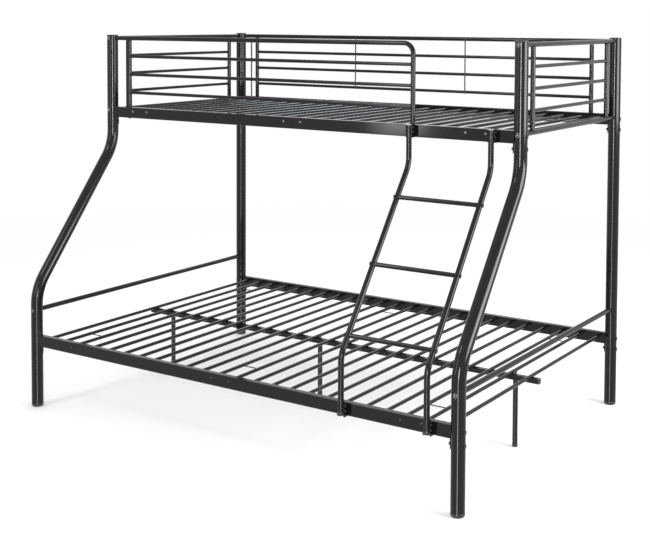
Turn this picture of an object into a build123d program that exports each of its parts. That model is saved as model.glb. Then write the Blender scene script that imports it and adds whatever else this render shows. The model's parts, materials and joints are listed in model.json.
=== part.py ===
from build123d import *
import math
import os

# A bunk bed of black round steel tube: a single bed over a double one.
# Millimetres. X runs along the bed, with the ladder at +X. The front is -Y and Z is up.
# The origin is on the floor under the middle of the bed's outer box.

# Sleeping spaces. The posts, rails and slats are placed from these clear sizes.
clear_length = 1960.0
upper_clear_width = 921.0
lower_clear_width = 1386.0
overall_height = 1578.0

# Fits that every joint uses.
weld_gap = 0.2
seat_gap = 0.3
hole_play = 0.3
cut_overrun = 5.0

# Posts: round tube. The front pair leans in from the wide bed to the narrow one.
post_dia = 50.0
post_wall = 1.5
post_bend_radius = 190.0
post_lower_bend_rise = 217.5
post_upper_bend_drop = 148.0
foot_height = 14.0
foot_edge = 5.0
foot_stem = 22.0
cap_height = 5.0
cap_edge = 2.5
cap_stem = 5.0
plug_play = 0.3

# Side rails: rectangular tube between saddle plates that hug the posts.
lower_rail_z = 284.5
upper_rail_drop = 348.0
rail_height = 47.0
rail_thickness = 25.0
rail_wall = 1.5
rail_corner = 2.5
saddle_thickness = 3.0
saddle_drop = 34.0

# Frame bolts: coach bolts, whose square necks sit in square holes under domed heads.
bolt_dia = 6.0
bolt_shank_dia = 5.6
bolt_neck_length = 4.0
bolt_head_dia = 14.0
bolt_head_height = 4.5
bolt_head_edge = 2.5
rail_bolt_rise = 2.5
rail_bolt_drop = 43.5
nut_width = 10.0
nut_thickness = 5.5
tube_bolt_reach = 18.0

# Slats: round bars across both beds, with wire links between some pairs.
slat_dia = 14.0
slat_count = 24
slat_margin = 50.5
slat_rise = 6.0
linked_pair_shares = (0.045, 0.48, 0.915)
link_dia = 4.0
link_inset = 180.0

# End panels: two tubes, two uprights and three bars between each pair of posts.
panel_tube_dia = 19.0
panel_tube_wall = 1.2
panel_bar_dia = 14.0
top_tube_drop = 15.0
bar_pitch = 81.0
bar_count = 3
panel_upright_inset = 100.0
low_bar_rise = 129.5
low_bar_dia = 20.0

# Guards: the back one closes the whole side, the front one stops at the ladder.
guard_upright_inset = 105.0
guard_bend_radius = 41.0
guard_end_offset = 3.5
wire_dia = 6.0
back_wire_shares = (0.353, 0.648)
front_wire_share = 0.501
guard_bolt_reach = 15.0

# Centre support under the double bed: a square bar on three legs.
centre_bar_width = 20.0
centre_bar_wall = 1.5
centre_bar_inset = 18.0
centre_cap_thickness = 6.0
centre_cap_stem = 15.0
centre_leg_dia = 20.0
centre_leg_wall = 1.2
centre_leg_shares = (0.045, 0.48, 0.955)
centre_leg_shift = 14.5
centre_foot_dia = 22.0
centre_foot_height = 12.0
centre_foot_edge = 4.0
centre_foot_stem = 22.0
centre_bolt_head_dia = 12.0
centre_bolt_head_height = 12.0
centre_bolt_edge = 3.0

# Ladder: two bent stiles, three rungs, and a channel bracket at each rail.
stile_dia = 21.5
stile_wall = 1.5
stile_standoff = 22.0
stile_bend_radius = 90.0
stile_inset = 101.0
stile_spacing = 342.5
stile_lower_bend_rise = 198.5
stile_upper_bend_drop = 127.0
stile_top_rise = 27.0
stile_bottom_drop = 19.0
stile_plug_height = 14.0
stile_plug_dia = 24.0
stile_plug_edge = 4.0
stile_plug_stem = 20.0
stile_cap_height = 4.0
stile_cap_dia = 24.0
stile_cap_stem = 15.0
rung_dia = 17.0
rung_wall = 1.2
rung_names = ("top", "middle", "bottom")
rung_top_drop = 113.5
rung_bottom_rise = 58.0
rung_bolt_reach = 12.0
bracket_play = 1.5
bracket_sheet = 2.0
bracket_overhang = 3.0
bracket_rise = 2.5
bracket_corner = 5.0
bracket_screw_dia = 4.0
bracket_screw_head_dia = 8.0
bracket_screw_head_height = 3.0
bracket_screw_edge = 1.5
bracket_screw_setback = 3.5
bracket_screw_shares = (0.2, 0.55)

# Plan of the frame, worked out from the clear sizes.
post_radius = post_dia / 2
post_x = (clear_length + post_dia) / 2
upper_rail_z = overall_height - upper_rail_drop
lower_span = lower_clear_width + rail_thickness
upper_span = upper_clear_width + rail_thickness
front_reach = lower_span + rail_thickness / 2 + stile_standoff + stile_plug_dia / 2
back_reach = post_radius + seat_gap + bolt_head_height
back_y = (front_reach - back_reach) / 2
lower_front_y = back_y - lower_span
upper_front_y = back_y - upper_span
top_tube_z = overall_height - top_tube_drop
bar_levels = [top_tube_z - bar_pitch * (i + 1) for i in range(bar_count)]
bottom_tube_z = top_tube_z - bar_pitch * (bar_count + 1)
low_bar_z = lower_rail_z + low_bar_rise
slat_pitch = (2 * post_x - 2 * slat_margin) / (slat_count - 1)
slat_places = [slat_margin - post_x + slat_pitch * i for i in range(slat_count)]
right_stile_x = post_x - stile_inset
left_stile_x = right_stile_x - stile_spacing
guard_end_x = left_stile_x - guard_end_offset
guard_start_x = guard_upright_inset - post_x
beds = (("lower", lower_rail_z, lower_front_y), ("upper", upper_rail_z, upper_front_y))
lower_stile_y = lower_front_y - rail_thickness / 2 - stile_standoff
upper_stile_y = upper_front_y - rail_thickness / 2 - stile_standoff
stile_low_bend_z = lower_rail_z + stile_lower_bend_rise
stile_high_bend_z = upper_rail_z - stile_upper_bend_drop
rail_bolt_levels = (rail_bolt_rise, -rail_bolt_drop)
saddle_radius = post_radius + weld_gap + saddle_thickness
wire_offset = (panel_bar_dia + wire_dia) / 2 + weld_gap
bracket_inner = stile_dia + 2 * bracket_play
bracket_outer = bracket_inner + 2 * bracket_sheet
bracket_depth = stile_standoff - weld_gap + bracket_overhang
bracket_height = rail_height + bracket_rise


def rod(start, end, dia):
    """A round bar between two points."""
    axis = Vector(*end) - Vector(*start)
    return Solid.make_cylinder(dia / 2, axis.length, Plane(start, z_dir=axis))


def tube(start, end, dia, wall):
    """A round tube between two points."""
    return rod(start, end, dia) - rod(start, end, dia - 2 * wall)


def bent_tube(points, radius, dia, wall):
    """A round tube that follows a line of points, with rounded corners."""
    ring = Circle(dia / 2) - Circle(dia / 2 - wall)
    runs = []
    for edge in FilletPolyline(*points, radius=radius).edges():
        section = Plane(edge @ 0, z_dir=edge % 0) * ring
        if edge.geom_type == GeomType.LINE:
            runs.append(extrude(section, edge.length))
        else:
            centre = edge.arc_center
            axis = Axis(centre, (edge @ 0 - centre).cross(edge % 0))
            runs.append(revolve(section, axis, math.degrees(edge.length / radius)))
    return runs[0] + runs[1:]


def post_cutter(x, y, radius):
    """An upright cylinder that clears the post at x, y."""
    return rod((x, y, 0), (x, y, overall_height), 2 * radius)


def square_bar(start, end, width):
    """A square bar between two points."""
    axis = Vector(*end) - Vector(*start)
    return extrude(Plane(start, z_dir=axis) * Rectangle(width, width), axis.length)


def bolt_head(dia, height, edge):
    """A round head with a sloping rim that rises from the origin along +Z."""
    head = Cylinder(dia / 2, height, align=(Align.CENTER, Align.CENTER, Align.MIN))
    return chamfer(top_edge(head), edge)


def coach_bolt(length):
    """A bolt along +Z: a round head above the origin, a square neck and a round shank below it."""
    neck = square_bar((0, 0, -bolt_neck_length), (0, 0, 0), bolt_dia)
    shank = rod((0, 0, -length), (0, 0, -bolt_neck_length), bolt_shank_dia)
    return bolt_head(bolt_head_dia, bolt_head_height, bolt_head_edge) + neck + shank


def punch(start, end, dia):
    """The square hole for a bolt or screw of a given diameter, as a bar to cut away."""
    return square_bar(start, end, dia + 2 * hole_play)


def round_plug(head_dia, head_height, stem_dia, stem_length):
    """A moulded plug along +Z: a round head above the origin and a stem below it."""
    head = Cylinder(head_dia / 2, head_height, align=(Align.CENTER, Align.CENTER, Align.MIN))
    stem = Cylinder(stem_dia / 2, stem_length, align=(Align.CENTER, Align.CENTER, Align.MAX))
    return head + stem


def top_edge(shape):
    """The highest edge of a shape made along +Z."""
    return shape.edges().sort_by(Axis.Z)[-1]


def place(shape, at, direction):
    """Turns a shape made along +Z to a direction and moves it to a point."""
    return Plane(at, z_dir=direction) * shape


def save(name, pieces):
    """Writes the solids of one named sub-part."""
    solids = [solid for piece in pieces for solid in piece.solids()]
    export_step(Compound(solids), f"parts/{name}.step")


# Bolts along X hold the rails, bolts along Y hold the tubes of the end panels.
def rail_bolt_places():
    """Each rail bolt: the post's x and y, its height, and the outward direction."""
    places = []
    for side in (-1, 1):
        for level, z, front_y in beds:
            for y in (front_y, back_y):
                for offset in rail_bolt_levels:
                    places.append((side * post_x, y, z + offset, side))
    return places


def tube_bolt_places():
    """Each end-tube bolt: the post's x and y, its height, and the outward direction."""
    places = []
    for side in (-1, 1):
        for level, front_y in ((low_bar_z, lower_front_y), (bottom_tube_z, upper_front_y),
                               (top_tube_z, upper_front_y)):
            places.append((side * post_x, front_y, level, -1))
            places.append((side * post_x, back_y, level, 1))
    return places


def bolt_holes(x, y_places):
    """The square holes for the bolts in the post at x whose axis passes the given y places."""
    reach = post_radius + cut_overrun
    holes = []
    for bolt_x, y, z, side in rail_bolt_places():
        if bolt_x == x and y in y_places:
            holes.append(punch((x - reach, y, z), (x + reach, y, z), bolt_dia))
    for bolt_x, y, z, side in tube_bolt_places():
        if bolt_x == x and y in y_places:
            holes.append(punch((x, y - reach, z), (x, y + reach, z), bolt_dia))
    return holes


# Posts with their caps and feet.
def make_posts():
    bottom = foot_height + seat_gap
    top = overall_height - cap_height - seat_gap
    low_bend = lower_rail_z + post_lower_bend_rise
    high_bend = upper_rail_z - post_upper_bend_drop
    for name, x in (("left", -post_x), ("right", post_x)):
        back = tube((x, back_y, bottom), (x, back_y, top), post_dia, post_wall)
        save(f"post_back_{name}", [back - bolt_holes(x, (back_y,))])
        points = ((x, lower_front_y, bottom), (x, lower_front_y, low_bend),
                  (x, upper_front_y, high_bend), (x, upper_front_y, top))
        front = bent_tube(points, post_bend_radius, post_dia, post_wall)
        save(f"post_front_{name}", [front - bolt_holes(x, (lower_front_y, upper_front_y))])


def make_post_ends():
    stem_dia = post_dia - 2 * post_wall - 2 * plug_play
    cap = round_plug(post_dia, cap_height, stem_dia, cap_stem)
    cap = chamfer(top_edge(cap), cap_edge)
    foot = round_plug(post_dia, foot_height, stem_dia, foot_stem)
    foot = chamfer(top_edge(foot), foot_edge)
    caps, feet = [], []
    for x in (-post_x, post_x):
        for y in (upper_front_y, back_y):
            caps.append(place(cap, (x, y, overall_height - cap_height), (0, 0, 1)))
        for y in (lower_front_y, back_y):
            feet.append(place(foot, (x, y, foot_height), (0, 0, -1)))
    save("post_caps", caps)
    save("post_feet", feet)


# Rails, the saddle plates at their ends, and their bolts and nuts.
def guard_foot_places():
    """The x and y of each guard upright that stands on an upper rail."""
    return [(guard_start_x, back_y), (-guard_start_x, back_y),
            (guard_start_x, upper_front_y), (guard_end_x, upper_front_y)]


def make_rail(y, z):
    profile = RectangleRounded(rail_thickness, rail_height, rail_corner)
    profile -= RectangleRounded(rail_thickness - 2 * rail_wall, rail_height - 2 * rail_wall,
                                rail_corner - rail_wall)
    rail = Pos(0, y, z) * extrude(Plane.YZ * profile, post_x, both=True)
    for side in (-1, 1):
        rail -= post_cutter(side * post_x, y, saddle_radius + weld_gap)
    reach = rail_height / 2 + cut_overrun
    for foot_x, foot_y in guard_foot_places():
        if z == upper_rail_z and foot_y == y:
            rail -= punch((foot_x, y, z - reach), (foot_x, y, z + reach), bolt_dia)
    return rail


def make_saddle(side, y, z):
    ring = Circle(saddle_radius) - Circle(post_radius + weld_gap)
    strip = Pos(saddle_radius / 2, 0) * Rectangle(saddle_radius, rail_thickness)
    height = rail_height + saddle_drop
    plate = extrude(ring & strip, height)
    for offset in rail_bolt_levels:
        level = offset + rail_height / 2 + saddle_drop
        plate -= punch((0, 0, level), (saddle_radius + cut_overrun, 0, level), bolt_dia)
    turn = 0 if side < 0 else 180
    return Pos(side * post_x, y, z - rail_height / 2 - saddle_drop) * Rot(0, 0, turn) * plate


def make_rails():
    for level, z, front_y in beds:
        saddles = []
        for row, y in (("front", front_y), ("back", back_y)):
            save(f"rail_{level}_{row}", [make_rail(y, z)])
            saddles += [make_saddle(side, y, z) for side in (-1, 1)]
        save(f"rail_saddles_{level}", saddles)


def make_rail_bolts():
    nut_start = saddle_radius + weld_gap
    bolt = coach_bolt(post_radius + seat_gap + saddle_radius)
    nut = extrude(RegularPolygon(nut_width / 2, 6, major_radius=False), nut_thickness)
    bolts, nuts = [], []
    for x, y, z, side in rail_bolt_places():
        bolts.append(place(bolt, (x + side * (post_radius + seat_gap), y, z), (side, 0, 0)))
        nuts.append(place(nut, (x - side * nut_start, y, z), (-side, 0, 0)))
    save("rail_bolts", bolts)
    save("rail_nuts", nuts)


# Slats and the wire links that hold some of them in pairs.
def slat_at(share, step=0):
    """The x of the slat at a share of the row, or of one some steps further."""
    return slat_places[round(share * (slat_count - 1)) + step]


def make_slats():
    for level, z, front_y in beds:
        start = front_y + rail_thickness / 2 + weld_gap
        end = back_y - rail_thickness / 2 - weld_gap
        height = z + slat_rise
        save(f"{level}_slats", [rod((x, start, height), (x, end, height), slat_dia) for x in slat_places])
        gap = slat_dia / 2 + weld_gap
        links = []
        for share in linked_pair_shares:
            for y in (front_y + link_inset, back_y - link_inset):
                links.append(rod((slat_at(share) + gap, y, height),
                                 (slat_at(share, 1) - gap, y, height), link_dia))
        save(f"{level}_slat_links", links)


# End panels and the bars low between the legs.
def between_posts(x, z, front_y, dia, wall):
    """A tube along Y between a front and a back post, with ends that fit round them."""
    piece = tube((x, front_y, z), (x, back_y, z), dia, wall)
    for y in (front_y, back_y):
        piece -= post_cutter(x, y, post_radius + weld_gap)
    return piece


def make_end_panels():
    radius = panel_tube_dia / 2 + weld_gap
    upright_places = (upper_front_y + panel_upright_inset, back_y - panel_upright_inset)
    for name, x in (("left", -post_x), ("right", post_x)):
        rails = {}
        for part, z in (("top_tube", top_tube_z), ("bottom_tube", bottom_tube_z)):
            cross_tube = between_posts(x, z, upper_front_y, panel_tube_dia, panel_tube_wall)
            save(f"end_{name}_{part}", [cross_tube])
            rails[part] = rod((x, upper_front_y, z), (x, back_y, z), 2 * radius)
        uprights = [rod((x, y, bottom_tube_z), (x, y, top_tube_z), panel_tube_dia) for y in upright_places]
        save(f"end_{name}_uprights", [upright - list(rails.values()) for upright in uprights])
        sides = [post_cutter(x, y, radius) for y in upright_places]
        bars = [rod((x, upright_places[0], z), (x, upright_places[1], z), panel_bar_dia)
                for z in bar_levels]
        save(f"end_{name}_bars", [bar - sides for bar in bars])
        low_bar = between_posts(x, low_bar_z, lower_front_y, low_bar_dia, panel_tube_wall)
        save(f"lower_end_bar_{name}", [low_bar])


def make_tube_bolts():
    length = 2 * post_radius + seat_gap + tube_bolt_reach
    bolt = coach_bolt(length)
    bolts = []
    for x, y, z, side in tube_bolt_places():
        bolts.append(place(bolt, (x, y + side * (post_radius + seat_gap), z), (0, side, 0)))
    save("end_tube_bolts", bolts)


# Guards on the upper rails.
def guard_bars(y, first_x, last_x):
    sides = [post_cutter(x, y, panel_tube_dia / 2 + weld_gap) for x in (first_x, last_x)]
    return [rod((first_x, y, z), (last_x, y, z), panel_bar_dia) - sides for z in bar_levels]


def guard_upright(x, y, tube_cutter):
    foot = upper_rail_z + rail_height / 2 + weld_gap
    return tube((x, y, foot), (x, y, top_tube_z), panel_tube_dia, panel_tube_wall) - tube_cutter


def guard_wire(x, y, tube_cutter):
    """A wire behind the bars, from the lowest one up to the top tube."""
    bottom = bar_levels[-1] - panel_bar_dia / 2
    return rod((x, y, bottom), (x, y, top_tube_z), wire_dia) - tube_cutter


def make_back_guard():
    y = back_y
    cutter = rod((-post_x, y, top_tube_z), (post_x, y, top_tube_z), panel_tube_dia + 2 * weld_gap)
    top = tube((-post_x, y, top_tube_z), (post_x, y, top_tube_z), panel_tube_dia, panel_tube_wall)
    posts = [post_cutter(x, y, post_radius + weld_gap) for x in (-post_x, post_x)]
    save("back_guard_top_tube", [top - posts])
    ends = (guard_start_x, -guard_start_x)
    save("back_guard_uprights", [guard_upright(x, y, cutter) for x in ends])
    save("back_guard_bars", guard_bars(y, *ends))
    places = [2 * post_x * share - post_x for share in back_wire_shares]
    save("back_guard_wires", [guard_wire(x, y - wire_offset, cutter) for x in places])


def make_front_guard():
    y = upper_front_y
    foot = upper_rail_z + rail_height / 2 + weld_gap
    points = ((-post_x, y, top_tube_z), (guard_end_x, y, top_tube_z), (guard_end_x, y, foot))
    top = bent_tube(points, guard_bend_radius, panel_tube_dia, panel_tube_wall)
    save("front_guard_tube", [top - post_cutter(-post_x, y, post_radius + weld_gap)])
    cutter = rod((-post_x, y, top_tube_z), (guard_end_x, y, top_tube_z), panel_tube_dia + 2 * weld_gap)
    save("front_guard_upright", [guard_upright(guard_start_x, y, cutter)])
    save("front_guard_bars", guard_bars(y, guard_start_x, guard_end_x))
    wire_x = -post_x + (guard_end_x + post_x) * front_wire_share
    save("front_guard_wire", [guard_wire(wire_x, y + wire_offset, cutter)])


def make_guard_bolts():
    under = upper_rail_z - rail_height / 2 - seat_gap
    bolt = coach_bolt(rail_height + guard_bolt_reach)
    save("guard_foot_bolts", [place(bolt, (x, y, under), (0, 0, -1)) for x, y in guard_foot_places()])


# Centre support under the lower slats.
def make_centre_support():
    y = (lower_front_y + back_y) / 2
    top = lower_rail_z + slat_rise - slat_dia / 2 - seat_gap
    middle = top - centre_bar_width / 2
    length = 2 * (post_x - centre_bar_inset - centre_cap_thickness)
    bore_width = centre_bar_width - 2 * centre_bar_wall
    bar = Box(length, centre_bar_width, centre_bar_width) - Box(length, bore_width, bore_width)
    bar = Pos(0, y, middle) * bar
    leg_top = middle - centre_bar_width / 2 - weld_gap
    leg_places = [slat_at(share) + centre_leg_shift for share in centre_leg_shares]
    for x in leg_places:
        bar -= punch((x, y, leg_top - cut_overrun), (x, y, top + cut_overrun), bolt_dia)
    save("centre_bar", [bar])
    stem_width = bore_width - 2 * plug_play
    caps = []
    for side in (-1, 1):
        inner_face = side * (length / 2 + weld_gap)
        outer_face = inner_face + side * centre_cap_thickness
        stem_end = inner_face - side * centre_cap_stem
        head = square_bar((inner_face, y, middle), (outer_face, y, middle), centre_bar_width)
        caps.append(head + square_bar((stem_end, y, middle), (inner_face, y, middle), stem_width))
    save("centre_bar_caps", caps)
    bore = centre_leg_dia - 2 * centre_leg_wall
    leg_bottom = centre_foot_height + seat_gap
    save("centre_legs", [tube((x, y, leg_bottom), (x, y, leg_top), centre_leg_dia, centre_leg_wall)
                         for x in leg_places])
    foot = round_plug(centre_foot_dia, centre_foot_height, bore - 2 * plug_play, centre_foot_stem)
    foot = chamfer(top_edge(foot), centre_foot_edge)
    save("centre_leg_feet", [place(foot, (x, y, centre_foot_height), (0, 0, -1)) for x in leg_places])
    shank = rod((0, 0, -centre_bar_width - tube_bolt_reach), (0, 0, 0), bolt_dia)
    bolt = bolt_head(centre_bolt_head_dia, centre_bolt_head_height, centre_bolt_edge) + shank
    save("centre_leg_bolts", [place(bolt, (x, y, top + seat_gap), (0, 0, 1)) for x in leg_places])


# Ladder.
def stile_line(z):
    """The y of the ladder's leaning line at a height."""
    share = (z - stile_low_bend_z) / (stile_high_bend_z - stile_low_bend_z)
    return lower_stile_y + share * (upper_stile_y - lower_stile_y)


def rung_places():
    """The name, y and z of each rung."""
    high = stile_high_bend_z - rung_top_drop
    low = stile_low_bend_z + rung_bottom_rise
    pitch = (high - low) / (len(rung_names) - 1)
    return [(name, stile_line(high - pitch * i), high - pitch * i) for i, name in enumerate(rung_names)]


def bracket_places():
    """The x and y of the stile in each ladder bracket, and the bracket's middle height."""
    return [(x, y, z + bracket_rise / 2)
            for y, z in ((lower_stile_y, lower_rail_z), (upper_stile_y, upper_rail_z))
            for x in (left_stile_x, right_stile_x)]


def bracket_screw_places():
    """The x, y and z where each bracket screw passes the plane of its stile's axis."""
    return [(x, y + bracket_screw_setback, z + bracket_height * (1 / 2 - share))
            for x, y, z in bracket_places() for share in bracket_screw_shares]


def make_ladder():
    bottom = lower_rail_z - stile_bottom_drop + stile_plug_height
    top = upper_rail_z + stile_top_rise - stile_cap_height
    stem_dia = stile_dia - 2 * stile_wall - 2 * plug_play
    plug = round_plug(stile_plug_dia, stile_plug_height, stem_dia, stile_plug_stem)
    plug = chamfer(top_edge(plug), stile_plug_edge)
    cap = round_plug(stile_cap_dia, stile_cap_height, stem_dia, stile_cap_stem)
    cap = chamfer(top_edge(cap), stile_cap_height / 2)
    plugs, caps = [], []
    for name, x in (("left", left_stile_x), ("right", right_stile_x)):
        points = ((x, lower_stile_y, bottom + seat_gap), (x, lower_stile_y, stile_low_bend_z),
                  (x, upper_stile_y, stile_high_bend_z), (x, upper_stile_y, top - seat_gap))
        stile = bent_tube(points, stile_bend_radius, stile_dia, stile_wall)
        reach = stile_dia / 2 + cut_overrun
        stile -= [punch((x - reach, y, z), (x + reach, y, z), bolt_dia) for rung, y, z in rung_places()]
        stile -= [punch((x, y, z), (x + reach, y, z), bracket_screw_dia)
                  for screw_x, y, z in bracket_screw_places() if screw_x == x]
        save(f"ladder_stile_{name}", [stile])
        plugs.append(place(plug, (x, lower_stile_y, bottom), (0, 0, -1)))
        caps.append(place(cap, (x, upper_stile_y, top), (0, 0, 1)))
    save("ladder_plugs", plugs)
    save("ladder_caps", caps)


def make_rungs():
    lean = Vector(0, upper_stile_y - lower_stile_y, stile_high_bend_z - stile_low_bend_z).normalized()
    bolt = coach_bolt(stile_dia + seat_gap + rung_bolt_reach)
    bolts = []
    for name, y, z in rung_places():
        rung = tube((left_stile_x, y, z), (right_stile_x, y, z), rung_dia, rung_wall)
        for x in (left_stile_x, right_stile_x):
            ends = [Vector(x, y, z) + lean * (step * rung_dia) for step in (-1, 1)]
            rung -= rod(tuple(ends[0]), tuple(ends[1]), stile_dia + 2 * weld_gap)
        save(f"ladder_rung_{name}", [rung])
        for x, side in ((left_stile_x, -1), (right_stile_x, 1)):
            bolts.append(place(bolt, (x + side * (stile_dia / 2 + seat_gap), y, z), (side, 0, 0)))
    save("ladder_rung_bolts", bolts)


def make_brackets():
    channel = Box(bracket_outer, bracket_depth, bracket_height)
    channel -= Pos(0, -bracket_sheet, 0) * Box(bracket_inner, bracket_depth, bracket_height)
    channel = fillet(channel.edges().filter_by(Axis.X).group_by(Axis.Y)[0], bracket_corner)
    brackets = []
    for x, stile_y, z in bracket_places():
        bracket = Pos(x, stile_y + bracket_depth / 2 - bracket_overhang, z) * channel
        for screw_x, screw_y, screw_z in bracket_screw_places():
            if (screw_x, screw_y) == (x, stile_y + bracket_screw_setback):
                outside = x + bracket_outer / 2 + cut_overrun
                bracket -= punch((x + stile_dia / 2, screw_y, screw_z), (outside, screw_y, screw_z),
                                 bracket_screw_dia)
        brackets.append(bracket)
    save("ladder_brackets", brackets)
    seat = bracket_outer / 2 + seat_gap
    shank = rod((0, 0, stile_dia / 2 - stile_wall - seat), (0, 0, 0), bracket_screw_dia)
    screw = bolt_head(bracket_screw_head_dia, bracket_screw_head_height, bracket_screw_edge) + shank
    save("ladder_bracket_bolts", [place(screw, (x + seat, y, z), (1, 0, 0))
                                  for x, y, z in bracket_screw_places()])


def main():
    os.makedirs("parts", exist_ok=True)
    make_posts()
    make_post_ends()
    make_rails()
    make_rail_bolts()
    make_slats()
    make_end_panels()
    make_tube_bolts()
    make_back_guard()
    make_front_guard()
    make_guard_bolts()
    make_centre_support()
    make_ladder()
    make_rungs()
    make_brackets()


main()
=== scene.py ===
"""Looks of a black steel bunk bed, dressed and detailed round its CAD frame.

All lengths are metres, in the frame of the CAD model: X runs along the bed, the front is -Y and Z is up.
A profile pairs distances from an axis with heights along it.
"""

import json
import logging
import math
from dataclasses import dataclass
from enum import Enum
from typing import Callable, Sequence

import bmesh
import bpy
from mathutils import Matrix, Vector

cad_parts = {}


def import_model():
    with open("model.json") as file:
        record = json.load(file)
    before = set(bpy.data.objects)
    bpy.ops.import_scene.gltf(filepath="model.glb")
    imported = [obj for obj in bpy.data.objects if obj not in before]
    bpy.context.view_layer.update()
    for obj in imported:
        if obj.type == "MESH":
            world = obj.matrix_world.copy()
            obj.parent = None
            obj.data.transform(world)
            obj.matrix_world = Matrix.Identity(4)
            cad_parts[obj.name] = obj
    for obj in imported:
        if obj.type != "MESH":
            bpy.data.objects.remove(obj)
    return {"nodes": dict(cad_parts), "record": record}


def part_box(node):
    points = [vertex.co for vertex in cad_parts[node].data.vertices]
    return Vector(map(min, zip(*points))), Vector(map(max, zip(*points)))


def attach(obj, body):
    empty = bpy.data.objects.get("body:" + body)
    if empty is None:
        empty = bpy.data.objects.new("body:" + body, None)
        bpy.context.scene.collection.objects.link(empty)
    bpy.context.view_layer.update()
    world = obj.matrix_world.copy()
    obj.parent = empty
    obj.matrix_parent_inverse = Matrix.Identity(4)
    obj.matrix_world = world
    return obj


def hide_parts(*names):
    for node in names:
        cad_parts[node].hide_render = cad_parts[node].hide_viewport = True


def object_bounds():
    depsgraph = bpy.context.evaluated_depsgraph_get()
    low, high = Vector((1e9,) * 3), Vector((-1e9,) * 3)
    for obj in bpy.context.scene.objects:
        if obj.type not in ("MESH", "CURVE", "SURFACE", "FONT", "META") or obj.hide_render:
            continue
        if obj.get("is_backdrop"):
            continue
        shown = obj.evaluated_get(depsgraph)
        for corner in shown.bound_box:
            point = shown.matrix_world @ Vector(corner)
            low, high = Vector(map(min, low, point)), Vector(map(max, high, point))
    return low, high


LOG = logging.getLogger("bunk_bed")
BODY = "root"
UP = Vector((0.0, 0.0, 1.0))
ALONG = Vector((1.0, 0.0, 0.0))
ACROSS = Vector((0.0, 1.0, 0.0))
Colour = tuple[float, float, float]
Place = tuple[float, float, float]
Points = list[tuple[float, float]]
Shares = tuple[tuple[float, float], ...]
Reach = Callable[[float], float]
Profile = Sequence[tuple[float | Reach, float]]
Seam = list[tuple[Vector, Vector, Vector]]


class Slot(Enum):
    """Material slots of the record."""

    PAINT = "black_paint"
    PLASTIC = "black_plastic"
    PALE = "light_plastic"
    FASTENER = "fastener"


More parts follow.
